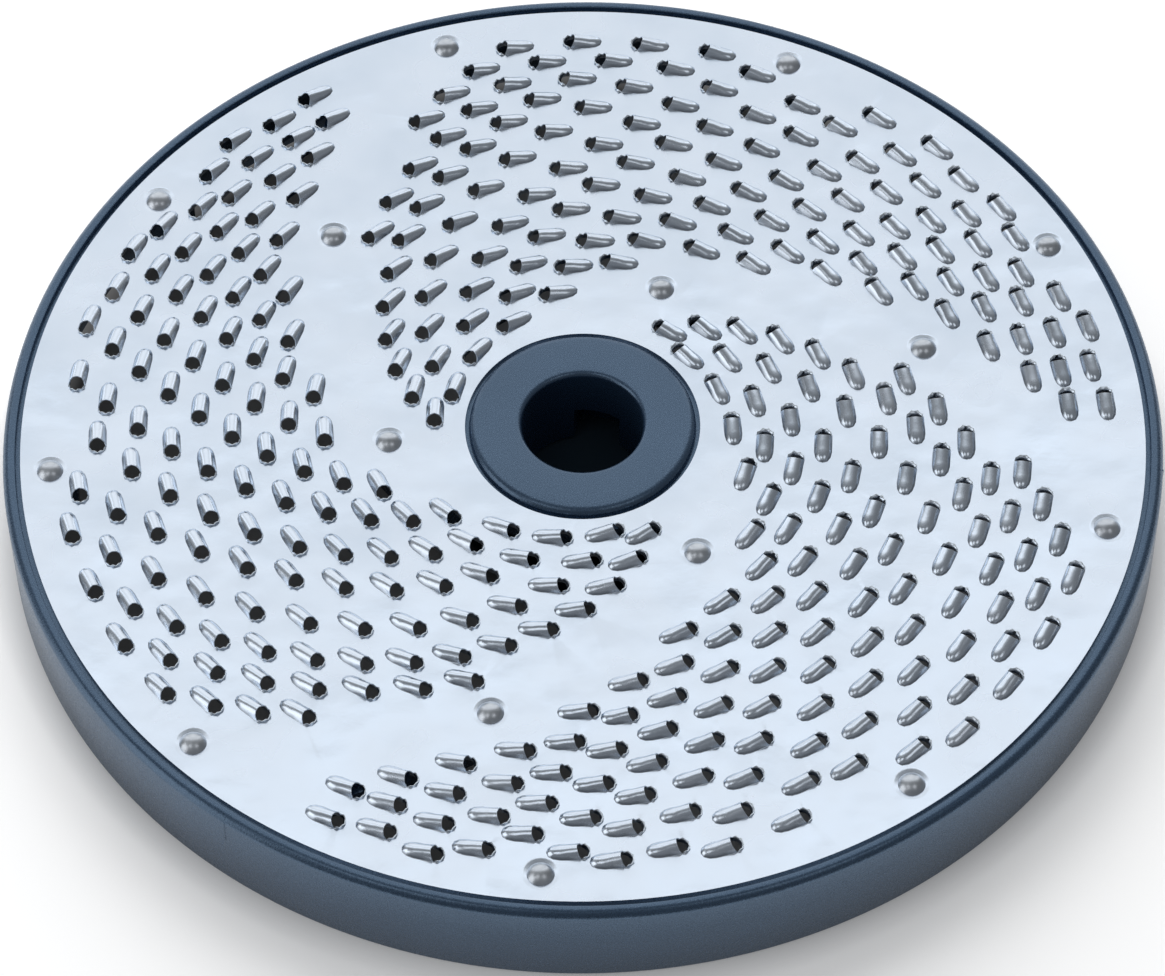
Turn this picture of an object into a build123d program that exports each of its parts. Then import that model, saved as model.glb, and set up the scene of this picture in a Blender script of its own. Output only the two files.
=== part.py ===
from build123d import *
from math import cos, dist, radians, sin
import os

os.makedirs("parts", exist_ok=True)

# Grating disc of a vegetable cutter, in millimetres.
# The origin is the middle of the rim's foot, +Z runs up the drive shaft, and the teeth cut counter-clockwise
# seen from above. Angles are counted counter-clockwise from +X.

# Rim of the carrier
rim_diameter = 228.4
rim_height = 20.4
rim_wall = 3.5
rim_edge_bevel = 2.0
lip_width = 3.0
lip_stand = 0.6

# Web of the carrier: the ledge under the sheet's edge, the rivet tabs and the spokes
web_depth = 6.0
ledge_width = 4.6
rivet_tab_width = 10.4
rivet_tab_reach = 5.2
spoke_count = 3
spoke_width = 10.0
spoke_rim_angle = 112.0
spoke_hub_angle = 228.0

# Hub of the carrier
hub_diameter = 44.8
hub_rise = 1.0
hub_edge_bevel = 1.6
hub_foot_gap = 1.0
shoulder_width = 3.4
bore_diameter = 24.0
bore_wall = 7.0
bore_edge_bevel = 1.2
drive_slot_count = 2
drive_slot_angle = 75.0
drive_slot_width = 9.4
drive_slot_depth = 5.0
drive_slot_height = 8.4

# Steel sheet
sheet_thickness = 0.8
sheet_edge_gap = 0.5
sheet_hub_gap = 0.8

# Rivets
shank_diameter = 3.0
shank_sides = 6
shank_hole_clearance = 0.1
head_diameter = 5.2
head_sides = 8
head_height = 1.3
head_taper = 40.0
outer_rivet_count = 9
outer_rivet_inset = 5.8
outer_rivet_angle = 105.2
middle_rivet_radius = 70.7
middle_rivet_angle = 135.2
inner_rivet_radius = 38.3
inner_rivet_angle = 184.9

# One tooth: a hood that rises from a pointed tail to a raked mouth, over a slot that ends at the mouth's foot
hood_length = 6.6
mouth_rake = 1.4
mouth_width = 3.4
mouth_height = 2.0
mouth_brow_width = 2.2
slot_length = 6.4
tooth_hub_margin = 3.5
tooth_rivet_margin = 7.0

# One field of teeth between two spokes, row by row. A row starts near the rim and bends in towards the hub:
# its first tooth's inset from the sheet's edge and angle, the step inwards from tooth to tooth, the angle to
# the second tooth, by how much that angle grows from tooth to tooth, and the number of teeth.
field_rows = [
    (7.2, 123.5, 7.4, 0.2, 0.0, 2),
    (8.7, 129.0, 6.1, -0.2, 0.0, 3),
    (6.7, 134.5, 6.9, 0.1, 0.0, 4),
    (9.7, 139.5, 7.6, 0.9, 0.0, 4),
    (14.2, 144.5, 7.0, 1.1, 0.14, 5),
    (10.7, 149.5, 7.5, 1.3, 0.16, 6),
    (8.7, 154.0, 6.9, 1.5, 0.16, 8),
    (10.2, 160.0, 7.1, 2.2, 0.18, 8),
    (8.2, 165.5, 6.7, 2.3, 0.21, 10),
    (9.7, 173.5, 6.7, 3.0, 0.19, 11),
    (15.2, 182.5, 6.6, 4.4, 0.16, 11),
    (11.2, 189.5, 6.5, 3.5, 0.29, 12),
    (8.2, 195.0, 6.3, 4.1, 0.28, 13),
    (8.7, 203.0, 5.2, 4.0, 0.20, 15),
    (8.7, 211.0, 5.3, 4.2, 0.23, 8),
    (9.2, 219.0, 4.9, 4.7, 0.0, 4),
]

# Sizes and heights that follow from those above
rim_radius = rim_diameter / 2
lip_radius = rim_radius - lip_width
ledge_radius = lip_radius - ledge_width
sheet_radius = lip_radius - sheet_edge_gap
sheet_top = rim_height - lip_stand
seat_height = sheet_top - sheet_thickness
web_foot = seat_height - web_depth
hub_radius = hub_diameter / 2
bore_radius = bore_diameter / 2
hub_tube_radius = bore_radius + bore_wall
hub_top = sheet_top + hub_rise
shoulder_radius = hub_radius + shoulder_width
sheet_hole_radius = hub_radius + sheet_hub_gap
shank_hole_radius = shank_diameter / 2 + shank_hole_clearance
outer_rivet_radius = sheet_radius - outer_rivet_inset
rivet_tab_end = outer_rivet_radius - rivet_tab_reach
spoke_spacing = 360 / spoke_count


def polar(radius, angle, height=0.0):
    """The point at a radius, an angle in degrees and a height."""
    return (radius * cos(radians(angle)), radius * sin(radians(angle)), height)


def rivet_points(height):
    """The fifteen rivet places at one height: the outer ring, then two on each spoke."""
    points = []
    for rivet in range(outer_rivet_count):
        points.append(polar(outer_rivet_radius, outer_rivet_angle + rivet * 360 / outer_rivet_count, height))
    for spoke in range(spoke_count):
        points.append(polar(middle_rivet_radius, middle_rivet_angle + spoke * spoke_spacing, height))
        points.append(polar(inner_rivet_radius, inner_rivet_angle + spoke * spoke_spacing, height))
    return points


def tooth_places(height):
    """A place for each tooth, with its own x axis along the cut and its origin on the mouth's foot."""
    places = []
    for field in range(spoke_count):
        for inset, first_angle, step, angle_step, angle_growth, count in field_rows:
            for tooth in range(count):
                radius = sheet_radius - inset - tooth * step
                angle = first_angle + tooth * (angle_step + tooth * angle_growth) + field * spoke_spacing
                mouth = polar(radius, angle, height)
                nearest_rivet = min(dist(mouth, rivet) for rivet in rivet_points(height))
                clear_of_hub = radius >= sheet_hole_radius + tooth_hub_margin
                if clear_of_hub and nearest_rivet >= tooth_rivet_margin:
                    places.append(Location(mouth, (0, 0, angle + 90)))
    return places


def tooth_hood():
    """One hollow hood standing on the sheet's top face, with a sharp edge all round its mouth."""
    mouth = [
        (mouth_rake, -mouth_width / 2, 0),
        (0, -mouth_brow_width / 2, mouth_height),
        (0, mouth_brow_width / 2, mouth_height),
        (mouth_rake, mouth_width / 2, 0),
    ]
    tail = (-hood_length, 0, 0)
    root = (mouth_rake - slot_length, 0, 0)
    faces = [Face(Wire.make_polygon((tail, *edge))) for edge in zip(mouth, mouth[1:])]
    faces += [Face(Wire.make_polygon((root, *edge))) for edge in zip(mouth, mouth[1:])]
    faces.append(Face(Wire.make_polygon((tail, mouth[0], root, mouth[-1]))))
    return Solid(Shell(faces))


# Carrier: one moulding with a rim, a web and a hub
with BuildPart() as carrier:
    with BuildSketch(Plane.XZ) as rim_section:
        with BuildLine():
            Polyline(
                (rim_radius, 0),
                (rim_radius, rim_height),
                (lip_radius, rim_height),
                (lip_radius, seat_height),
                (ledge_radius, seat_height),
                (ledge_radius, web_foot),
                (rim_radius - rim_wall, web_foot),
                (rim_radius - rim_wall, 0),
                close=True,
            )
        make_face()
        outer_corners = rim_section.vertices().group_by(Axis.X)[-1].sort_by(Axis.Y)
        chamfer(outer_corners[-1], length=rim_edge_bevel)
    revolve(axis=Axis.Z)

    with BuildSketch(Plane.XZ) as hub_section:
        with BuildLine():
            Polyline(
                (bore_radius, hub_foot_gap),
                (hub_tube_radius, hub_foot_gap),
                (hub_tube_radius, web_foot),
                (shoulder_radius, web_foot),
                (shoulder_radius, seat_height),
                (hub_radius, seat_height),
                (hub_radius, hub_top),
                (bore_radius, hub_top),
                close=True,
            )
        make_face()
        hub_corner = hub_section.vertices().group_by(Axis.Y)[-1].sort_by(Axis.X)[-1]
        chamfer(hub_corner, length=hub_edge_bevel)
        bore_corner = hub_section.vertices().group_by(Axis.Y)[-1].sort_by(Axis.X)[0]
        chamfer(bore_corner, length=bore_edge_bevel)
    revolve(axis=Axis.Z)

    with BuildSketch(Plane.XY.offset(web_foot)):
        for spoke in range(spoke_count):
            turn = spoke * spoke_spacing
            with BuildLine():
                outer_bend = ThreePointArc(
                    polar(rim_radius - rim_wall, spoke_rim_angle + turn),
                    polar(middle_rivet_radius, middle_rivet_angle + turn),
                    polar(inner_rivet_radius, inner_rivet_angle + turn),
                )
                TangentArc(
                    outer_bend @ 1,
                    polar(hub_tube_radius, spoke_hub_angle + turn),
                    tangent=outer_bend % 1,
                )
            trace(line_width=spoke_width)
        with PolarLocations(rivet_tab_end, outer_rivet_count, outer_rivet_angle):
            Rectangle(lip_radius - rivet_tab_end, rivet_tab_width, align=(Align.MIN, Align.CENTER))
        Circle(hub_tube_radius, mode=Mode.SUBTRACT)
    extrude(amount=web_depth)

    with BuildSketch(Plane.XY.offset(web_foot)):
        with Locations(*rivet_points(0)):
            RegularPolygon(shank_hole_radius, shank_sides)
    extrude(amount=web_depth, mode=Mode.SUBTRACT)

    with BuildSketch(Plane.XY.offset(hub_foot_gap)):
        with PolarLocations(0, drive_slot_count, drive_slot_angle):
            Rectangle(
                bore_radius + drive_slot_depth,
                drive_slot_width,
                align=(Align.MIN, Align.CENTER),
            )
    extrude(amount=drive_slot_height, mode=Mode.SUBTRACT)
carrier.part.label = "carrier"

# Grating sheet: a flat blank with its slots, and a hood raised over each slot
with BuildPart() as grating_sheet:
    with BuildSketch(Plane.XY.offset(seat_height)):
        Circle(sheet_radius)
        Circle(sheet_hole_radius, mode=Mode.SUBTRACT)
        with Locations(*rivet_points(0)):
            RegularPolygon(shank_hole_radius, shank_sides, mode=Mode.SUBTRACT)
        with Locations(*tooth_places(0)):
            Polygon(
                (mouth_rake - slot_length, 0),
                (mouth_rake, -mouth_width / 2),
                (mouth_rake, mouth_width / 2),
                align=None,
                mode=Mode.SUBTRACT,
            )
    extrude(amount=sheet_thickness)
    with Locations(*tooth_places(sheet_top)):
        add(tooth_hood())
grating_sheet.part.label = "grating_sheet"

# Rivets: a low crowned head on the sheet and a shank through sheet and web, flat-sided to keep facets few
with BuildPart() as rivet:
    with BuildSketch():
        RegularPolygon(head_diameter / 2, head_sides)
    extrude(amount=head_height, taper=head_taper)
    with BuildSketch():
        RegularPolygon(shank_diameter / 2, shank_sides)
    extrude(amount=web_foot - sheet_top)

with BuildPart() as rivets:
    with Locations(*rivet_points(sheet_top)):
        add(rivet.part)
rivets.part.label = "rivets"

export_step(carrier.part, "parts/carrier.step")
export_step(grating_sheet.part, "parts/grating_sheet.step")
export_step(rivets.part, "parts/rivets.step")
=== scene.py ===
import math

import bpy
from mathutils import Matrix, Vector


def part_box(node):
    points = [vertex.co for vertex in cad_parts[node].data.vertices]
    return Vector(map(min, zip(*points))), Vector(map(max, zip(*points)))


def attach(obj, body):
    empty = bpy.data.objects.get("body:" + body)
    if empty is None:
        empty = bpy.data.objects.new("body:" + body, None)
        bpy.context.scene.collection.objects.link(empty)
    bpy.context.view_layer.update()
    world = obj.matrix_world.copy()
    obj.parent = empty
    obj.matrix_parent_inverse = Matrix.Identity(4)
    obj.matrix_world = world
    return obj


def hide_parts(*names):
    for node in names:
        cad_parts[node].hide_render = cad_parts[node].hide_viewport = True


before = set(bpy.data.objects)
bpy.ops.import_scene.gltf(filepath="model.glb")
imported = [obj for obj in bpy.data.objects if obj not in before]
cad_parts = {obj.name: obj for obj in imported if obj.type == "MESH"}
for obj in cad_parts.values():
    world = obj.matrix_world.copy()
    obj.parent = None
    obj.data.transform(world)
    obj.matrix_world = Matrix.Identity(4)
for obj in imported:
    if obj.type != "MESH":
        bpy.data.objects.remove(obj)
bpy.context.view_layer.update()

# Carrier: the body of the disc, one moulding in dark slate-blue plastic with a satin skin.
# A rim with a ledge carries the steel sheet, three bent spokes tie it to the hub, and the hub
# has a bore for the drive shaft and two slots for the shaft's pin.
rim_radius = 0.1142
rim_corners = 256
rim_wall = 0.0035
rim_bevel = 0.0014
rim_foot_round = 0.0005
lip_width = 0.0025
lip_round = 0.0003
lip_stand = 0.0003
ledge_width = 0.0051
hub_radius = 0.0224
hub_corners = 128
hub_rise = 0.001
hub_round = 0.0016
hub_foot_height = 0.001
hub_tube_radius = 0.019
shoulder_radius = 0.0258
bore_radius = 0.012
bore_round = 0.0011
web_depth = 0.006
web_round = 0.0006
spoke_count = 3
spoke_width = 0.010
spoke_root_part = 12
spoke_rim_angle = math.radians(112.0)
spoke_hub_angle = math.radians(228.0)
middle_rivet_radius = 0.0707
middle_rivet_angle = math.radians(135.2)
inner_rivet_radius = 0.0383
inner_rivet_angle = math.radians(184.9)
outer_rivet_count = 9
outer_rivet_radius = 0.1049
outer_rivet_angle = math.radians(105.2)
shank_radius = 0.0015
shank_clearance = 0.0001
rivet_tab_width = 0.0104
rivet_tab_reach = 0.0052
drive_slot_angle = math.radians(75.0)
drive_slot_width = 0.0094
drive_slot_depth = 0.005
drive_slot_height = 0.0084
sheet_thickness = 0.0008
hairline = 0.00001
seat_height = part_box("grating_sheet")[0].z
sheet_top = seat_height + sheet_thickness
rim_height = sheet_top + lip_stand
web_foot = seat_height - web_depth
hub_top = sheet_top + hub_rise
lip_radius = rim_radius - lip_width


def pick(piece, kind, wanted):
    """Selects, in edit mode, each VERT, EDGE or FACE of a piece whose corners all pass a test."""
    bpy.ops.object.mode_set(mode="EDIT")
    bpy.ops.mesh.select_mode(type=kind)
    bpy.ops.mesh.select_all(action="DESELECT")
    bpy.ops.object.mode_set(mode="OBJECT")
    mesh = piece.data
    for corner in mesh.vertices:
        corner.select = kind == "VERT" and wanted(corner.co)
    if kind != "VERT":
        for part in mesh.edges if kind == "EDGE" else mesh.polygons:
            part.select = all(wanted(mesh.vertices[index].co) for index in part.vertices)
    bpy.ops.object.mode_set(mode="EDIT")


def near(value, target):
    """True for two sizes that are the same but for rounding."""
    return abs(value - target) < hairline


def on_ring(radius, height):
    """A test for the points of one ring round the drive shaft."""
    return lambda co: near(co.xy.length, radius) and near(co.z, height)


def push(x=0.0, z=0.0):
    """Extrudes what is selected along a straight line."""
    bpy.ops.mesh.extrude_region_move(TRANSFORM_OT_translate={"value": (x, 0, z)})


def new_piece(name):
    """Names the object that was just added and puts its place into its mesh."""
    bpy.ops.object.mode_set(mode="OBJECT")
    piece = bpy.context.active_object
    piece.name = name
    piece.data.name = name
    bpy.ops.object.transform_apply(location=True, rotation=True, scale=True)
    return piece


def clean_normals():
    """Merges doubled points of the active, closed piece and turns all its faces outwards."""
    bpy.ops.object.mode_set(mode="EDIT")
    bpy.ops.mesh.select_all(action="SELECT")
    bpy.ops.mesh.remove_doubles(threshold=hairline / 10)
    bpy.ops.mesh.normals_make_consistent(inside=False)
    bpy.ops.object.mode_set(mode="OBJECT")


# The rim is a cylinder with a stepped seat sunk into its top and a hollow in its foot.
bpy.ops.object.select_all(action="DESELECT")
bpy.ops.mesh.primitive_cylinder_add(
    vertices=rim_corners,
    radius=rim_radius,
    depth=rim_height,
    location=(0, 0, rim_height / 2),
)
carrier = new_piece("disc_carrier")
pick(carrier, "FACE", lambda co: near(co.z, rim_height))
bpy.ops.mesh.inset(thickness=lip_width)
push(z=seat_height - rim_height)
bpy.ops.mesh.inset(thickness=ledge_width)
push(z=-web_depth)
bpy.ops.mesh.delete(type="ONLY_FACE")
pick(carrier, "FACE", lambda co: near(co.z, 0))
bpy.ops.mesh.inset(thickness=rim_wall)
push(z=web_foot)
bpy.ops.mesh.delete(type="ONLY_FACE")
pick(carrier, "EDGE", lambda co: near(co.z, web_foot))
bpy.ops.mesh.bridge_edge_loops()
pick(carrier, "EDGE", on_ring(rim_radius, rim_height))
bpy.ops.mesh.bevel(offset=rim_bevel, segments=6, profile=0.4)
pick(carrier, "EDGE", on_ring(rim_radius, 0))
bpy.ops.mesh.bevel(offset=rim_foot_round, segments=2, profile=0.5)
pick(carrier, "EDGE", lambda co: near(co.z, rim_height) and co.xy.length < lip_radius + hairline)
bpy.ops.mesh.bevel(offset=lip_round, segments=2, profile=0.5)
clean_normals()

# The hub is a shoulder with a flange raised on its top and a tube drawn down from its foot.
bpy.ops.object.select_all(action="DESELECT")
bpy.ops.mesh.primitive_cylinder_add(
    vertices=hub_corners,
    radius=shoulder_radius,
    depth=web_depth,
    location=(0, 0, seat_height - web_depth / 2),
)
hub = new_piece("hub")
pick(hub, "FACE", lambda co: near(co.z, seat_height))
bpy.ops.mesh.inset(thickness=shoulder_radius - hub_radius)
push(z=hub_top - seat_height)
bpy.ops.mesh.inset(thickness=hub_radius - bore_radius)
bpy.ops.mesh.delete(type="ONLY_FACE")
pick(hub, "FACE", lambda co: near(co.z, web_foot))
bpy.ops.mesh.inset(thickness=shoulder_radius - hub_tube_radius)
push(z=hub_foot_height - web_foot)
bpy.ops.mesh.inset(thickness=hub_tube_radius - bore_radius)
bpy.ops.mesh.delete(type="ONLY_FACE")
pick(hub, "EDGE", lambda co: co.xy.length < bore_radius + hairline)
bpy.ops.mesh.bridge_edge_loops()
pick(hub, "EDGE", lambda co: near(co.z, hub_top) and co.xy.length > hub_radius - hairline)
bpy.ops.mesh.bevel(offset=hub_round, segments=6, profile=0.5)
pick(hub, "EDGE", lambda co: near(co.z, hub_top) and co.xy.length < bore_radius + hairline)
bpy.ops.mesh.bevel(offset=bore_round, segments=5, profile=0.5)
clean_normals()


def polar(radius, angle, height=0.0):
    """The point at a radius and an angle round the drive shaft."""
    return Vector((radius * math.cos(angle), radius * math.sin(angle), height))


def bend_centre(start, middle, end):
    """The middle of the circle through three points of a bend."""
    first = middle - start
    second = end - start
    turn = 2 * (first.x * second.y - first.y * second.x)
    across = (second.y * first.length_squared - first.y * second.length_squared) / turn
    along = (first.x * second.length_squared - second.x * first.length_squared) / turn
    return start + Vector((across, along, 0))


def turn_between(start, end, centre):
    """The angle from one point to another round a centre, by the short way."""
    first = start - centre
    second = end - centre
    return math.atan2(first.x * second.y - first.y * second.x, first.dot(second))


# A spoke is a strip swept round the bend of its rivets, then round a tighter bend into the hub. Its root is
# sunk a little way into the rim's wall, and it stands a hairline inside the ledge's top and foot.
spoke_foot = web_foot + hairline
spoke_depth = web_depth - 2 * hairline
rim_end = polar(rim_radius - rim_wall, spoke_rim_angle, spoke_foot)
middle_rivet = polar(middle_rivet_radius, middle_rivet_angle, spoke_foot)
inner_rivet = polar(inner_rivet_radius, inner_rivet_angle, spoke_foot)
hub_end = polar(hub_tube_radius, spoke_hub_angle, spoke_foot)
long_centre = bend_centre(rim_end, middle_rivet, inner_rivet)
long_side = (inner_rivet - long_centre).normalized()
to_hub = hub_end - inner_rivet
short_centre = inner_rivet + long_side * (to_hub.length_squared / (2 * to_hub.dot(long_side)))
strip_root = rim_wall / spoke_root_part
strip_side = (rim_end - long_centre).normalized()
strip_heading = math.atan2(strip_side.y, strip_side.x)
outwards = Vector((strip_side.y, -strip_side.x, 0))
if outwards.dot(rim_end) < 0:
    outwards = -outwards
bpy.ops.object.select_all(action="DESELECT")
bpy.ops.mesh.primitive_plane_add(
    size=spoke_width,
    location=rim_end + outwards * strip_root / 2,
    rotation=(0, 0, strip_heading),
)
bpy.context.active_object.scale.y = strip_root / spoke_width
web = new_piece("web")
pick(web, "EDGE", lambda co: (co - rim_end).dot(outwards) < hairline)
long_bend = turn_between(rim_end, inner_rivet, long_centre)
bpy.ops.mesh.spin(steps=14, angle=-long_bend, center=long_centre, axis=(0, 0, 1))
short_bend = turn_between(inner_rivet, hub_end, short_centre)
bpy.ops.mesh.spin(steps=10, angle=-short_bend, center=short_centre, axis=(0, 0, 1))
pick(web, "FACE", lambda co: True)
bpy.ops.mesh.dissolve_faces()
push(z=spoke_depth)
clean_normals()
pick(web, "EDGE", lambda co: co.z < spoke_foot + hairline)
bpy.ops.mesh.bevel(offset=web_round, segments=2, profile=0.5)
bpy.ops.object.mode_set(mode="OBJECT")


def copies_round(piece, count):
    """Repeats a piece evenly round the drive shaft, each copy with its own mesh, and joins them all."""
    copies = [piece]
    for number in range(1, count):
        copy = piece.copy()
        copy.data = piece.data.copy()
        copy.rotation_euler.z = number * (math.tau / count)
        bpy.context.collection.objects.link(copy)
        copies.append(copy)
    bpy.ops.object.select_all(action="DESELECT")
    for copy in copies:
        copy.select_set(True)
    bpy.context.view_layer.objects.active = piece
    bpy.ops.object.transform_apply(location=True, rotation=True, scale=True)
    bpy.ops.object.join()


copies_round(web, spoke_count)

# A tab under each outer rivet widens the ledge.
tab_end = outer_rivet_radius - rivet_tab_reach
tab_length = lip_radius - tab_end
bpy.ops.object.select_all(action="DESELECT")
bpy.ops.mesh.primitive_cube_add(
    size=1,
    location=polar(tab_end + tab_length / 2, outer_rivet_angle, web_foot + web_depth / 2),
    rotation=(0, 0, outer_rivet_angle),
    scale=(tab_length, rivet_tab_width, spoke_depth - 2 * hairline),
)
tabs = new_piece("tabs")
pick(tabs, "EDGE", lambda co: co.xy.length < tab_end + web_round)
bpy.ops.mesh.bevel(offset=web_round, segments=2, profile=0.5)
bpy.ops.object.mode_set(mode="OBJECT")
copies_round(tabs, outer_rivet_count)

# The drive slots are cut up into the hub's foot, and a hole through the web takes each rivet.
bpy.ops.object.select_all(action="DESELECT")
bpy.ops.mesh.primitive_cube_add(
    size=1,
    location=(0, 0, hub_foot_height + drive_slot_height / 2 - web_depth / 2),
    rotation=(0, 0, drive_slot_angle),
    scale=(2 * (bore_radius + drive_slot_depth), drive_slot_width, drive_slot_height + web_depth),
)
drive_slots = new_piece("drive_slots")


def rivet_places(height):
    """The places of the fifteen rivets: nine round the rim and two on each spoke."""
    places = []
    for number in range(outer_rivet_count):
        angle = outer_rivet_angle + number * math.tau / outer_rivet_count
        places.append(polar(outer_rivet_radius, angle, height))
    for number in range(spoke_count):
        turn = number * math.tau / spoke_count
        places.append(polar(middle_rivet_radius, middle_rivet_angle + turn, height))
        places.append(polar(inner_rivet_radius, inner_rivet_angle + turn, height))
    return places


def copies_at(piece, places, angles=None, lengths=None):
    """Puts a copy of a piece, with its own mesh, at each place and joins them all into the piece."""
    copies = []
    for number, place in enumerate(places):
        copy = piece.copy()
        copy.data = piece.data.copy()
        copy.location = place
        copy.rotation_euler.z = angles[number] if angles else 0
        copy.scale.x = lengths[number] if lengths else 1
        bpy.context.collection.objects.link(copy)
        copies.append(copy)
    bpy.data.meshes.remove(piece.data)
    bpy.ops.object.select_all(action="DESELECT")
    for copy in copies:
        copy.select_set(True)
    bpy.context.view_layer.objects.active = copies[0]
    bpy.ops.object.transform_apply(location=True, rotation=True, scale=True)
    bpy.ops.object.join()
    return copies[0]


def cut_or_join(piece, other, operation):
    """Joins another solid to a piece or cuts it out, and removes the other solid."""
    bpy.ops.object.select_all(action="DESELECT")
    bpy.context.view_layer.objects.active = piece
    piece.select_set(True)
    boolean = piece.modifiers.new("fit", "BOOLEAN")
    boolean.object = other
    boolean.operation = operation
    boolean.solver = "MANIFOLD"
    bpy.ops.object.modifier_apply(modifier=boolean.name)
    bpy.data.objects.remove(other)


bpy.ops.object.select_all(action="DESELECT")
rivet_hole_radius = shank_radius + shank_clearance
bpy.ops.mesh.primitive_cylinder_add(vertices=16, radius=rivet_hole_radius, depth=2 * web_depth)
rivet_holes = new_piece("rivet_holes")
rivet_holes = copies_at(rivet_holes, rivet_places(seat_height - web_depth / 2))
for added in (web, tabs, hub):
    cut_or_join(carrier, added, "UNION")
for cutter in (drive_slots, rivet_holes):
    cut_or_join(carrier, cutter, "DIFFERENCE")
bpy.ops.object.shade_smooth_by_angle(angle=math.radians(30))


def add_node(tree, kind, values=None):
    """Adds a shader node and sets the sockets that are given."""
    node = tree.nodes.new(kind)
    for socket, value in (values or {}).items():
        node.inputs[socket].default_value = value
    return node


def unevenness_group():
    """The unevenness that all the finishes share: broad patches and fine specks, both from 0 to 1."""
    group = bpy.data.node_groups.new("unevenness", "ShaderNodeTree")
    group.interface.new_socket("Place", in_out="INPUT", socket_type="NodeSocketVector")
    group.interface.new_socket("Patches per metre", in_out="INPUT", socket_type="NodeSocketFloat")
    group.interface.new_socket("Specks per metre", in_out="INPUT", socket_type="NodeSocketFloat")
    group.interface.new_socket("Patch", in_out="OUTPUT", socket_type="NodeSocketFloat")
    group.interface.new_socket("Speck", in_out="OUTPUT", socket_type="NodeSocketFloat")
    start = group.nodes.new("NodeGroupInput")
    end = group.nodes.new("NodeGroupOutput")
    for size, result, detail in (("Patches per metre", "Patch", 3), ("Specks per metre", "Speck", 2)):
        noise = add_node(group, "ShaderNodeTexNoise", {"Detail": detail, "Roughness": 0.55})
        group.links.new(start.outputs["Place"], noise.inputs["Vector"])
        group.links.new(start.outputs[size], noise.inputs["Scale"])
        spread = add_node(group, "ShaderNodeMapRange", {"From Min": 0.3, "From Max": 0.7})
        group.links.new(noise.outputs["Fac"], spread.inputs["Value"])
        group.links.new(spread.outputs["Result"], end.inputs[result])
    return group


def add_unevenness(tree, patches, specks):
    """Places the unevenness in a finish, with its own sizes, on the piece's own coordinates."""
    place = add_node(tree, "ShaderNodeTexCoord")
    node = tree.nodes.new("ShaderNodeGroup")
    node.node_tree = unevenness
    node.inputs["Patches per metre"].default_value = patches
    node.inputs["Specks per metre"].default_value = specks
    tree.links.new(place.outputs["Object"], node.inputs["Place"])
    return node


# A Mix node has sockets of one name for each kind of data, so its colour sockets go by number.
mix_mask = 0
mix_first = 6
mix_second = 7
mix_result = 2


def blend_colours(tree, mask, first, second):
    """Mixes two colours by a mask. The first one can also be what another node puts out."""
    mix = tree.nodes.new("ShaderNodeMix")
    mix.data_type = "RGBA"
    if isinstance(first, bpy.types.NodeSocket):
        tree.links.new(first, mix.inputs[mix_first])
    else:
        mix.inputs[mix_first].default_value = (*first, 1)
    mix.inputs[mix_second].default_value = (*second, 1)
    tree.links.new(mask, mix.inputs[mix_mask])
    return mix.outputs[mix_result]


def spread_values(tree, mask, low, high):
    """Turns a mask into a value between two limits."""
    spread = add_node(tree, "ShaderNodeMapRange", {"To Min": low, "To Max": high})
    tree.links.new(mask, spread.inputs["Value"])
    return spread.outputs["Result"]


# The plastic is dyed through, with a fine moulded grain that breaks up its shine.
dark_dye = (0.009, 0.021, 0.044)
light_dye = (0.015, 0.031, 0.060)
sheen_tint = (0.48, 0.69, 0.96)
unevenness = unevenness_group()
slate_plastic = bpy.data.materials.new("slate_plastic")
slate_plastic.use_nodes = True
tree = slate_plastic.node_tree
skin = tree.nodes["Principled BSDF"]
skin.inputs["IOR"].default_value = 1.8
skin.inputs["Specular IOR Level"].default_value = 1.0
skin.inputs["Specular Tint"].default_value = (*sheen_tint, 1)
grain = add_unevenness(tree, patches=45, specks=2600)
dye = blend_colours(tree, grain.outputs["Patch"], dark_dye, light_dye)
tree.links.new(dye, skin.inputs["Base Color"])
sheen = spread_values(tree, grain.outputs["Speck"], low=0.22, high=0.36)
tree.links.new(sheen, skin.inputs["Roughness"])
grain_bump = add_node(tree, "ShaderNodeBump", {"Strength": 0.35, "Distance": 0.00004})
tree.links.new(grain.outputs["Speck"], grain_bump.inputs["Height"])
tree.links.new(grain_bump.outputs["Normal"], skin.inputs["Normal"])
carrier.data.materials.clear()
carrier.data.materials.append(slate_plastic)
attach(carrier, "root")
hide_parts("carrier")

# Grating sheet: a disc of bright stainless steel, pressed in one piece and held on the ledge.
# Each tooth is a hood pushed up out of the sheet, open at its mouth over a hole whose front
# edge was torn by the punch and has been left with burrs.
sheet_edge_gap = 0.001
sheet_hub_gap = 0.0008
hood_wall_share = 0.24
hood_half_width = 0.0015
foot_half_width = 0.0017
hood_flare = 0.00013
nose_length = 0.0026
nose_height = 0.00105
nose_rings = 6
tip_ring_spread = 1.08
tip_ring_drop = 0.75
barrel_half = 0.0015
barrel_height = 0.0014
brow_height = 0.00165
mouth_rake = 0.0009
hole_reach = 0.0017
collar_rise = 0.00028
burr_rise = 0.00034
burr_angles = (math.radians(22.5), math.radians(67.5))
collar_foot = -0.0001
tooth_setback = 0.0012
tooth_hub_margin = 0.0035
tooth_rivet_margin = 0.007
sheet_radius = lip_radius - sheet_edge_gap
sheet_hole_radius = hub_radius + sheet_hub_gap
hood_length = nose_length + 2 * barrel_half
millimetres_per_metre = 1000

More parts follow.
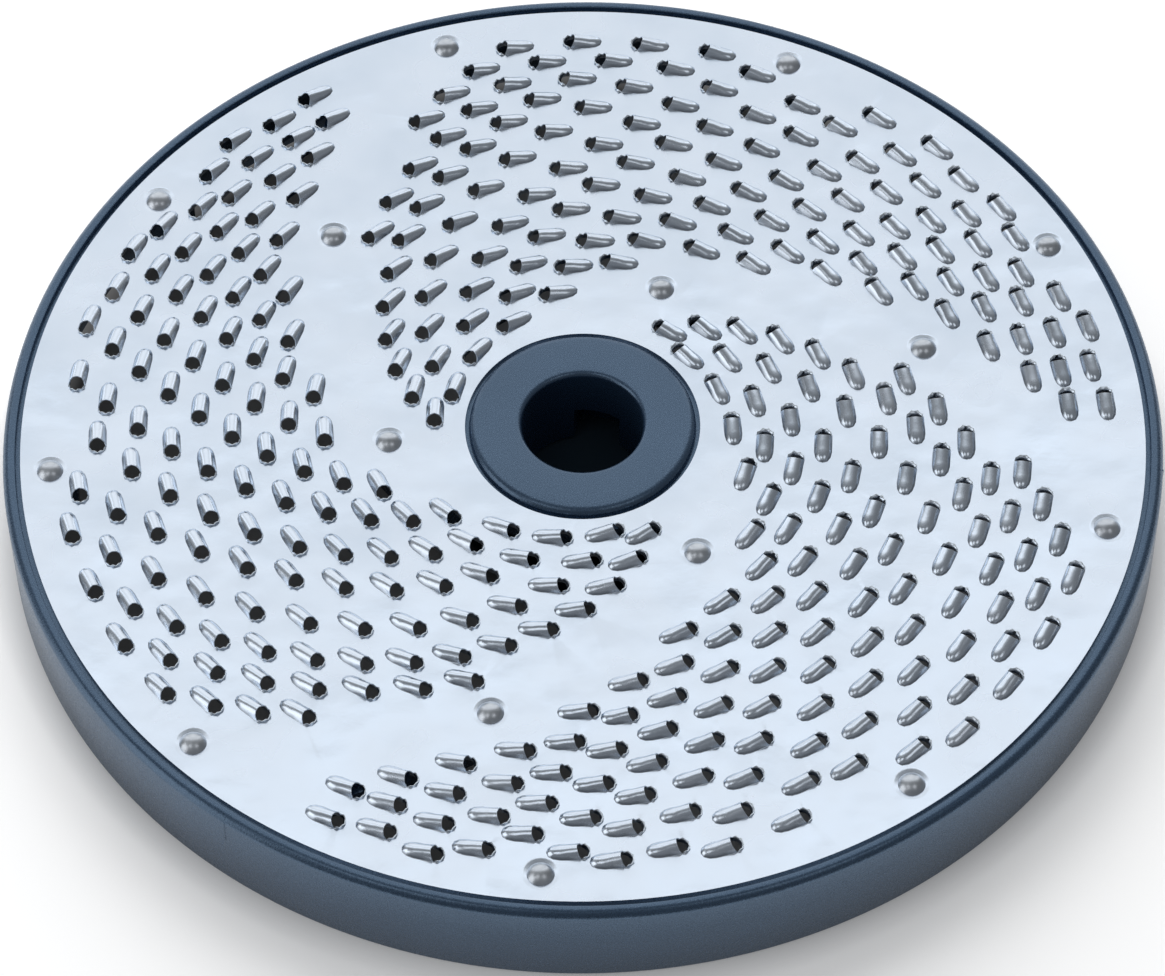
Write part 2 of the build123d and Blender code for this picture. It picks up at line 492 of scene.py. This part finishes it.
# One field of teeth between two spokes. Each row starts near the rim and bends in towards the hub: the
# first tooth's inset from the sheet's edge in millimetres and its angle in degrees, the step inwards, the
# angle to the next tooth, by how much that angle grows from tooth to tooth, and the number of teeth.
field_rows = [
    (7.2, 123.5, 7.4, 0.2, 0.0, 2),
    (8.7, 129.0, 6.1, -0.2, 0.0, 3),
    (6.7, 134.5, 6.9, 0.1, 0.0, 4),
    (9.7, 139.5, 7.6, 0.9, 0.0, 4),
    (14.2, 144.5, 7.0, 1.1, 0.14, 5),
    (10.7, 149.5, 7.5, 1.3, 0.16, 6),
    (8.7, 154.0, 6.9, 1.5, 0.16, 8),
    (10.2, 160.0, 7.1, 2.2, 0.18, 8),
    (8.2, 165.5, 6.7, 2.3, 0.21, 10),
    (9.7, 173.5, 6.7, 3.0, 0.19, 11),
    (15.2, 182.5, 6.6, 4.4, 0.16, 11),
    (11.2, 189.5, 6.5, 3.5, 0.29, 12),
    (8.2, 195.0, 6.3, 4.1, 0.28, 13),
    (8.7, 203.0, 5.2, 4.0, 0.20, 15),
    (8.7, 211.0, 5.3, 4.2, 0.23, 8),
    (9.2, 219.0, 4.9, 4.7, 0.0, 4),
]

# One tooth, with its mouth facing +X. The nose is a quarter of a sphere and the barrel is drawn forward from
# it, rising to a raked mouth. The sides lean inwards and end in a small flare round the foot.
bpy.ops.object.select_all(action="DESELECT")
bpy.ops.mesh.primitive_uv_sphere_add(
    segments=12,
    ring_count=nose_rings,
    radius=1,
    rotation=(0, math.pi / 2, 0),
)
tooth = new_piece("tooth")
pick(tooth, "VERT", lambda co: co.z < -hairline or co.x > hairline)
bpy.ops.mesh.delete(type="VERT")
bpy.ops.mesh.select_all(action="SELECT")
bpy.ops.transform.resize(value=(nose_length, hood_half_width, nose_height), center_override=(0, 0, 0))
tip_ring_place = -math.cos(math.pi / nose_rings) * nose_length
pick(tooth, "VERT", lambda co: near(co.x, tip_ring_place))
bpy.ops.transform.resize(value=(1, tip_ring_spread, tip_ring_drop), center_override=(0, 0, 0))
pick(tooth, "EDGE", lambda co: near(co.x, 0))
push(x=barrel_half)
bpy.ops.transform.resize(value=(1, 1, barrel_height / nose_height), center_override=(0, 0, 0))
push(x=barrel_half + mouth_rake)
foot_spread = foot_half_width / hood_half_width
slant_growth = math.hypot(brow_height, mouth_rake) / barrel_height
slant_angle = math.atan2(mouth_rake, brow_height)
mouth_foot = (2 * barrel_half + mouth_rake, 0, 0)
bpy.ops.transform.resize(value=(1, foot_spread, slant_growth), center_override=(0, 0, 0))
bpy.ops.transform.rotate(value=slant_angle, orient_axis="Y", center_override=mouth_foot)
pick(tooth, "VERT", lambda co: near(co.z, 0) and co.x < barrel_half + hairline)
bpy.ops.transform.resize(value=(1, foot_spread, 1), center_override=(0, 0, 0))
bpy.ops.mesh.select_all(action="SELECT")
bpy.ops.transform.translate(value=(-2 * barrel_half, 0, hood_flare))
pick(tooth, "EDGE", lambda co: near(co.z, hood_flare))
push(z=-hood_flare)
flare_length = 1 + hood_flare / (hood_length + mouth_rake)
flare_width = 1 + hood_flare / foot_half_width
bpy.ops.transform.resize(value=(flare_length, flare_width, 1), center_override=(mouth_rake, 0, 0))
bpy.ops.object.mode_set(mode="OBJECT")

# The hole's front edge is half a ring, drawn up to a low collar with burrs, that meets the mouth's feet.
bpy.ops.object.select_all(action="DESELECT")
bpy.ops.mesh.primitive_circle_add(vertices=16, radius=1)
hole_front = new_piece("hole_front")
pick(hole_front, "VERT", lambda co: co.x < -hairline)
bpy.ops.mesh.delete(type="VERT")
bpy.ops.mesh.select_all(action="SELECT")
bpy.ops.transform.resize(value=(hole_reach, foot_half_width, 1), center_override=(0, 0, 0))
bpy.ops.transform.translate(value=(mouth_rake, 0, collar_rise))
pick(hole_front, "VERT", lambda co: near(co.x, mouth_rake))
bpy.ops.transform.translate(value=(0, 0, hood_flare - collar_rise))
for angle in burr_angles:
    stand_off = foot_half_width * math.sin(angle)
    pick(hole_front, "VERT", lambda co: near(abs(co.y), stand_off))
    bpy.ops.transform.translate(value=(0, 0, burr_rise))
pick(hole_front, "EDGE", lambda co: True)
push()
collar_length = 1 + collar_foot / hole_reach
bpy.ops.transform.resize(value=(collar_length, flare_width, 0), center_override=(mouth_rake, 0, 0))
bpy.ops.object.mode_set(mode="OBJECT")

# Hood and hole front become one mesh, set back so that a tooth's place lies just in front of its mouth.
bpy.ops.object.select_all(action="DESELECT")
hole_front.select_set(True)
tooth.select_set(True)
bpy.context.view_layer.objects.active = tooth
bpy.ops.object.join()
bpy.ops.object.mode_set(mode="EDIT")
bpy.ops.mesh.select_all(action="SELECT")
bpy.ops.mesh.remove_doubles(threshold=hairline)
bpy.ops.transform.translate(value=(-tooth_setback, 0, 0))
bpy.ops.object.mode_set(mode="OBJECT")

# Each point is marked with its share of the wall's thickness, whether the punch tore it, and whether it lies
# in the fold where hood and sheet meet. The marks guide the thickness, the burrs and the finish, with a
# painted shade in the fold and a painted highlight on the torn edges.
burr_mark = 1.0
torn_mark = 0.8
wall = tooth.vertex_groups.new(name="wall")
torn_edge = tooth.vertex_groups.new(name="torn_edge")
torn_marks = []
fold_shade_marks = []
for corner in tooth.data.vertices:
    share = 1.0 if near(corner.co.z, 0) else hood_wall_share
    wall.add([corner.index], share, "REPLACE")
    torn_here = corner.co.x > -tooth_setback - hairline and not near(corner.co.z, 0)
    fold_shade_marks.append(float(near(corner.co.z, hood_flare) and not torn_here))
    on_collar = corner.co.x > mouth_rake - tooth_setback + hairline
    on_burr = on_collar and corner.co.z > collar_rise + hairline
    torn_marks.append(burr_mark if on_burr else torn_mark if torn_here else 0.0)
    if torn_here:
        torn_edge.add([corner.index], 1.0, "REPLACE")
torn = tooth.data.attributes.new("torn", "FLOAT", "POINT")
torn.data.foreach_set("value", torn_marks)
fold_shade = tooth.data.attributes.new("fold_shade", "FLOAT", "POINT")
fold_shade.data.foreach_set("value", fold_shade_marks)

# The teeth stand in three like fields, each tooth square to its radius, clear of the hub and the rivets.
tooth_spots = []
tooth_turns = []
for field in range(spoke_count):
    for inset, first_angle, step, angle_step, angle_growth, count in field_rows:
        for number in range(count):
            radius = sheet_radius - (inset + number * step) / millimetres_per_metre
            angle = math.radians(first_angle + number * (angle_step + number * angle_growth))
            angle += field * math.tau / spoke_count
            spot = polar(radius, angle, sheet_top)
            nearest_rivet = min((spot - rivet).length for rivet in rivet_places(sheet_top))
            if radius >= sheet_hole_radius + tooth_hub_margin and nearest_rivet >= tooth_rivet_margin:
                tooth_spots.append(spot)
                tooth_turns.append(angle + math.pi / 2)

# A tooth is pressed shorter where the collar of another one is close behind its tail.
flared_half_width = foot_half_width + hood_flare
tooth_lengths = []
for spot, turn in zip(tooth_spots, tooth_turns):
    forward = polar(1, turn)
    aside = polar(1, turn + math.pi / 2)
    length = 1.0
    for other in tooth_spots:
        ahead = (spot - other).dot(forward)
        across = abs((spot - other).dot(aside)) / (2 * flared_half_width)
        if ahead > hairline and across < 1:
            narrowing = math.sqrt(1 - across**2)
            front = mouth_rake - tooth_setback + hole_reach * narrowing
            tail = tooth_setback + 2 * barrel_half + (nose_length + hood_flare) * narrowing
            length = min(length, (ahead - front - 2 * hood_flare) / tail)
    tooth_lengths.append(length)
sheet = copies_at(tooth, tooth_spots, tooth_turns, tooth_lengths)
sheet.name = "grating_sheet_steel"
sheet.data.name = "grating_sheet_steel"

# The outlines of the sheet, its hub hole and its rivet holes are rings, and one fill joins them to the
# teeth. Setting the rivets has drawn the sheet down round them in a shallow dimple, given here step by
# step as radius and depth.
dimple_radius = 0.0036
dimple_corners = 24
dimple_steps = ((0.0032, 0.00003), (0.0026, 0.00022), (rivet_hole_radius, 0.00026))
sheet_middle = Vector((0, 0, sheet_top))
ring_sizes = [(sheet_middle, sheet_radius, rim_corners), (sheet_middle, sheet_hole_radius, hub_corners)]
ring_sizes += [(place, dimple_radius, dimple_corners) for place in rivet_places(sheet_top)]
outlines = []
for place, radius, corners in ring_sizes:
    bpy.ops.object.select_all(action="DESELECT")
    bpy.ops.mesh.primitive_circle_add(vertices=corners, radius=radius, location=place)
    outlines.append(new_piece("outline"))
    if near(radius, dimple_radius):
        drop = 0.0
        pick(outlines[-1], "EDGE", lambda co: True)
        for reach, dip in dimple_steps:
            push()
            shrink = reach / radius
            bpy.ops.transform.resize(value=(shrink, shrink, 1), center_override=place)
            bpy.ops.transform.translate(value=(0, 0, drop - dip))
            radius = reach
            drop = dip
        bpy.ops.object.mode_set(mode="OBJECT")
bpy.ops.object.select_all(action="DESELECT")
for outline in outlines:
    wall = outline.vertex_groups.new(name="wall")
    for corner in outline.data.vertices:
        wall.add([corner.index], 1.0 - (sheet_top - corner.co.z) / sheet_thickness, "REPLACE")
    outline.select_set(True)
sheet.select_set(True)
bpy.context.view_layer.objects.active = sheet
bpy.ops.object.join()
pick(sheet, "EDGE", lambda co: abs(co.z - sheet_top) < hairline / 10)
bpy.ops.mesh.fill(use_beauty=True)
bpy.ops.mesh.select_all(action="SELECT")
bpy.ops.mesh.normals_make_consistent(inside=False)
bpy.ops.object.mode_set(mode="OBJECT")
if sum(face.normal.z * face.area for face in sheet.data.polygons) < 0:
    bpy.ops.object.mode_set(mode="EDIT")
    bpy.ops.mesh.flip_normals()
    bpy.ops.object.mode_set(mode="OBJECT")

# The torn edges are made ragged, and the sheet gets its thickness, which the punch has drawn thin in
# the hoods.
ragged_height = 0.00012
bpy.ops.object.mode_set(mode="EDIT")
bpy.ops.mesh.select_mode(type="VERT")
bpy.ops.mesh.select_all(action="DESELECT")
bpy.ops.object.vertex_group_set_active(group="torn_edge")
bpy.ops.object.vertex_group_select()
bpy.ops.transform.vertex_random(offset=ragged_height, uniform=0.0, normal=0.0, seed=4)
bpy.ops.object.mode_set(mode="OBJECT")
thickness = sheet.modifiers.new("thickness", "SOLIDIFY")
thickness.thickness = sheet_thickness
thickness.offset = -1
thickness.vertex_group = "wall"
bpy.ops.object.modifier_apply(modifier=thickness.name)
bpy.ops.object.shade_smooth_by_angle(angle=math.radians(75))
for height in (sheet_top, seat_height):
    pick(sheet, "FACE", lambda co: near(co.z, height))
    bpy.ops.mesh.set_normals_from_faces(keep_sharp=True)
bpy.ops.object.mode_set(mode="OBJECT")

# The steel is bright and a little satin, and the pressing has left it in soft waves. The folds round the
# hoods get a painted shade, a darker steel colour. The torn edges are rough, and a paler colour paints a
# highlight on them.
grey_steel = (0.735, 0.825, 0.94)
pale_steel = (0.80, 0.88, 0.985)
# Painted shade: a darker steel colour laid into the fold round each hood's foot.
fold_painted_shade = (0.2, 0.23, 0.28)
fold_shade_strength = 0.8
# Painted highlight: a paler steel colour on the torn lips and burrs. Their roughness is real.
torn_steel_and_highlight = (0.86, 0.94, 1.0)
torn_roughness = 0.6
bright_steel = bpy.data.materials.new("bright_steel")
bright_steel.use_nodes = True
tree = bright_steel.node_tree
polish = tree.nodes["Principled BSDF"]
polish.inputs["Metallic"].default_value = 1
steel_marks = add_unevenness(tree, patches=60, specks=900)
steel_tone = blend_colours(tree, steel_marks.outputs["Patch"], grey_steel, pale_steel)
# The painted shade is mixed in along the fold, and the painted highlight along the torn edges.
fold_shade_place = add_node(tree, "ShaderNodeAttribute")
fold_shade_place.attribute_name = "fold_shade"
fold_shade_mask = spread_values(tree, fold_shade_place.outputs["Fac"], low=0.0, high=fold_shade_strength)
fold_shaded_tone = blend_colours(tree, fold_shade_mask, steel_tone, fold_painted_shade)
torn_place = add_node(tree, "ShaderNodeAttribute")
torn_place.attribute_name = "torn"
torn_mask = add_node(tree, "ShaderNodeMapRange", {"From Min": 0.75, "From Max": 1.0})
tree.links.new(torn_place.outputs["Fac"], torn_mask.inputs["Value"])
steel_with_painted_light = blend_colours(tree, torn_mask.outputs["Result"], fold_shaded_tone, torn_steel_and_highlight)
tree.links.new(steel_with_painted_light, polish.inputs["Base Color"])
satin = spread_values(tree, steel_marks.outputs["Patch"], low=0.22, high=0.29)
edge_satin = add_node(tree, "ShaderNodeMapRange", {"To Max": torn_roughness})
tree.links.new(torn_mask.outputs["Result"], edge_satin.inputs["Value"])
tree.links.new(satin, edge_satin.inputs["To Min"])
tree.links.new(edge_satin.outputs["Result"], polish.inputs["Roughness"])
waves = add_unevenness(tree, patches=22, specks=75)
swell_bump = add_node(tree, "ShaderNodeBump", {"Strength": 1.0, "Distance": 0.0006})
tree.links.new(waves.outputs["Patch"], swell_bump.inputs["Height"])
wave_bump = add_node(tree, "ShaderNodeBump", {"Strength": 1.0, "Distance": 0.00009})
tree.links.new(waves.outputs["Speck"], wave_bump.inputs["Height"])
tree.links.new(swell_bump.outputs["Normal"], wave_bump.inputs["Normal"])
fine_bump = add_node(tree, "ShaderNodeBump", {"Strength": 0.3, "Distance": 0.00002})
tree.links.new(steel_marks.outputs["Speck"], fine_bump.inputs["Height"])
tree.links.new(wave_bump.outputs["Normal"], fine_bump.inputs["Normal"])
tree.links.new(fine_bump.outputs["Normal"], polish.inputs["Normal"])
sheet.data.materials.clear()
sheet.data.materials.append(bright_steel)
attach(sheet, "root")
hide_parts("grating_sheet")

# Rivets: fifteen plain steel rivets with low domed heads, set through the sheet into the web.
# Each shank is driven through its hole and ends flush with the foot of the web.
head_sphere = 0.003
head_angle = math.radians(60)
head_sink = 0.0002
head_radius = head_sphere * math.sin(head_angle)
head_foot = head_sphere * math.cos(head_angle)
bpy.ops.object.select_all(action="DESELECT")
bpy.ops.mesh.primitive_uv_sphere_add(segments=24, ring_count=18, radius=head_sphere)
rivet = new_piece("rivet")
pick(rivet, "VERT", lambda co: co.z < head_foot - hairline)
bpy.ops.mesh.delete(type="VERT")
bpy.ops.mesh.select_all(action="SELECT")
bpy.ops.transform.translate(value=(0, 0, -head_foot - head_sink))
pick(rivet, "EDGE", lambda co: near(co.z, -head_sink))
push()
shank_share = shank_radius / head_radius
bpy.ops.transform.resize(value=(shank_share, shank_share, 1), center_override=(0, 0, 0))
push(z=web_foot - sheet_top + head_sink)
bpy.ops.mesh.fill()
clean_normals()
rivets = copies_at(rivet, rivet_places(sheet_top))
rivets.name = "rivet_set"
rivets.data.name = "rivet_set"
bpy.ops.object.shade_smooth_by_angle(angle=math.radians(50))

# The heads are a greyer and duller steel than the sheet, uneven from the setting tool.
grey_head = (0.58, 0.62, 0.67)
pale_head = (0.70, 0.745, 0.80)
rivet_finish = bpy.data.materials.new("rivet_finish")
rivet_finish.use_nodes = True
tree = rivet_finish.node_tree
head_polish = tree.nodes["Principled BSDF"]
head_polish.inputs["Metallic"].default_value = 1
head_marks = add_unevenness(tree, patches=400, specks=3000)
head_tone = blend_colours(tree, head_marks.outputs["Patch"], grey_head, pale_head)
tree.links.new(head_tone, head_polish.inputs["Base Color"])
head_satin = spread_values(tree, head_marks.outputs["Patch"], low=0.3, high=0.4)
tree.links.new(head_satin, head_polish.inputs["Roughness"])
head_bump = add_node(tree, "ShaderNodeBump", {"Strength": 0.3, "Distance": 0.00003})
tree.links.new(head_marks.outputs["Patch"], head_bump.inputs["Height"])
tree.links.new(head_bump.outputs["Normal"], head_polish.inputs["Normal"])
rivets.data.materials.clear()
rivets.data.materials.append(rivet_finish)
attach(rivets, "root")
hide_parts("rivets")

# Floor, light and camera: a wide matt floor, painted pale, under a soft studio that is white behind the disc
# and dim in front of it. A painted shade makes the floor darker under the disc, where its glow is held low,
# and darkest below the bore, where the glow is off. To the camera and in mirror images it glows a little
# beside the disc, so that the background stays pale but keeps the shadow.
floor_drop = 0.0002
floor_size = 12
bore_shade = (0.02, 0.035, 0.05)
disc_shade = (0.3, 0.31, 0.33)
floor_white = (0.86, 0.86, 0.86)
bore_shade_start = 0.026
bore_shade_end = 0.034
disc_shade_start = 0.106
disc_shade_end = 0.12
disc_glow = 0.014
open_glow = 0.3
bpy.ops.object.select_all(action="DESELECT")
bpy.ops.mesh.primitive_plane_add(size=floor_size, location=(0, 0, -floor_drop))
floor = new_piece("studio_floor")
floor_paint = bpy.data.materials.new("floor_paint")
floor_paint.use_nodes = True
tree = floor_paint.node_tree
paint = tree.nodes["Principled BSDF"]
paint.inputs["Roughness"].default_value = 0.9
paint.inputs["Specular IOR Level"].default_value = 0.1
paint.inputs["Emission Color"].default_value = (1, 1, 1, 1)
floor_place = add_node(tree, "ShaderNodeTexCoord")
from_middle = add_node(tree, "ShaderNodeVectorMath")
from_middle.operation = "LENGTH"
beside = add_node(
    tree,
    "ShaderNodeMapRange",
    {"From Min": disc_shade_start, "From Max": disc_shade_end},
)
beyond_bore = add_node(
    tree,
    "ShaderNodeMapRange",
    {"From Min": bore_shade_start, "From Max": bore_shade_end},
)
tree.links.new(floor_place.outputs["Object"], from_middle.inputs[0])
tree.links.new(from_middle.outputs["Value"], beside.inputs["Value"])
tree.links.new(from_middle.outputs["Value"], beyond_bore.inputs["Value"])
# Painted shade: the floor is painted dark under the disc and darker still below the bore, in place of the
# shade there.
shade_tone = blend_colours(tree, beyond_bore.outputs["Result"], bore_shade, disc_shade)
floor_tone = blend_colours(tree, beside.outputs["Result"], shade_tone, floor_white)
tree.links.new(floor_tone, paint.inputs["Base Color"])


def combine(tree, operation, first, second):
    """Adds or multiplies two masks and keeps the result from 0 to 1."""
    node = tree.nodes.new("ShaderNodeMath")
    node.operation = operation
    node.use_clamp = True
    tree.links.new(first, node.inputs[0])
    tree.links.new(second, node.inputs[1])
    return node.outputs[0]


rays = add_node(tree, "ShaderNodeLightPath")
direct = combine(tree, "ADD", rays.outputs["Is Camera Ray"], rays.outputs["Is Transmission Ray"])
direct_or_mirrored = combine(tree, "ADD", direct, rays.outputs["Is Glossy Ray"])
# The glow is held low under the disc and is off below the bore, as part of the same painted shade.
glow_beside = spread_values(tree, beside.outputs["Result"], low=disc_glow, high=open_glow)
glow = combine(tree, "MULTIPLY", glow_beside, beyond_bore.outputs["Result"])
seen_glow = combine(tree, "MULTIPLY", glow, direct_or_mirrored)
tree.links.new(seen_glow, paint.inputs["Emission Strength"])
floor.data.materials.append(floor_paint)

# The studio's walls and ceiling are a ramp of light from the dim front, through a bright band that the
# hoods mirror, to the white back: how far round each step lies, and how light it is.
back_direction = (-0.06, 0.9, 0.43)
front_grey = (0.16, 0.165, 0.173)
back_white = (1, 1, 1)
back_white_place = 0.98
sky_tint = (0.97, 0.985, 1)
sky_steps = (
    (0.45, 0.16),
    (0.72, 0.3),
    (0.78, 0.9),
    (0.82, 1.45),
    (0.855, 1.2),
    (0.885, 0.74),
    (0.93, 0.82),
)
world = bpy.data.worlds.new("studio")
bpy.context.scene.world = world
world.use_nodes = True
tree = world.node_tree
backdrop = tree.nodes["Background"]
sky_place = add_node(tree, "ShaderNodeTexCoord")
towards_back = add_node(tree, "ShaderNodeVectorMath", {1: back_direction})
towards_back.operation = "DOT_PRODUCT"
level = add_node(tree, "ShaderNodeValToRGB")
front_end = level.color_ramp.elements[0]
front_end.color = (*front_grey, 1)
back_end = level.color_ramp.elements[1]
back_end.color = (*back_white, 1)
back_end.position = back_white_place
for place, light in sky_steps:
    step = level.color_ramp.elements.new(place)
    step.color = (*(light * tint for tint in sky_tint), 1)
tree.links.new(sky_place.outputs["Generated"], towards_back.inputs[0])
tree.links.new(towards_back.outputs["Value"], level.inputs["Fac"])
tree.links.new(level.outputs["Color"], backdrop.inputs["Color"])

# A large softbox behind the disc casts the disc's soft shadow and is hidden from mirror images. Two small
# ones high in front put bright spots on the rivet heads and hoods, and a card on the left lights the rim.
bpy.ops.object.light_add(
    type="AREA",
    location=(-0.1, 0.9, 0.9),
    rotation=(math.radians(-45), 0, math.radians(5)),
)
back_box = bpy.context.active_object
back_box.name = "back_softbox"
back_box.data.size = 1.0
back_box.data.energy = 12
back_box.visible_glossy = False
for name, spot, size, power in (
    ("left_softbox", Vector((-0.42, -0.42, 0.95)), 0.42, 0.5),
    ("right_softbox", Vector((0.42, -0.42, 0.95)), 0.42, 0.4),
    ("left_card", Vector((-1.0, -0.26, 0.36)), 0.8, 2.2),
):
    facing = spot.to_track_quat("Z", "Y").to_euler()
    bpy.ops.object.light_add(type="AREA", location=spot, rotation=facing)
    lamp = bpy.context.active_object
    lamp.name = name
    lamp.data.size = size
    lamp.data.energy = power

# The camera looks down on the disc from the front, from where the photograph was taken.
view_target = Vector((-0.00017, -0.01559, 0.0198))
view_distance = 0.9329
view_elevation = math.radians(52.774)
view_roll = math.radians(-0.738)
view_line = Vector((0, -math.cos(view_elevation), math.sin(view_elevation)))
bpy.ops.object.camera_add(location=view_target + view_line * view_distance)
camera = bpy.context.active_object
camera.name = "photo_camera"
camera.data.lens = 147.7
camera.data.sensor_width = 36
camera.data.clip_start = 0.01
look = Matrix.Rotation(math.pi / 2 - view_elevation, 3, "X") @ Matrix.Rotation(view_roll, 3, "Z")
camera.rotation_euler = look.to_euler()
bpy.context.scene.camera = camera
bpy.context.scene.view_settings.view_transform = "Standard"
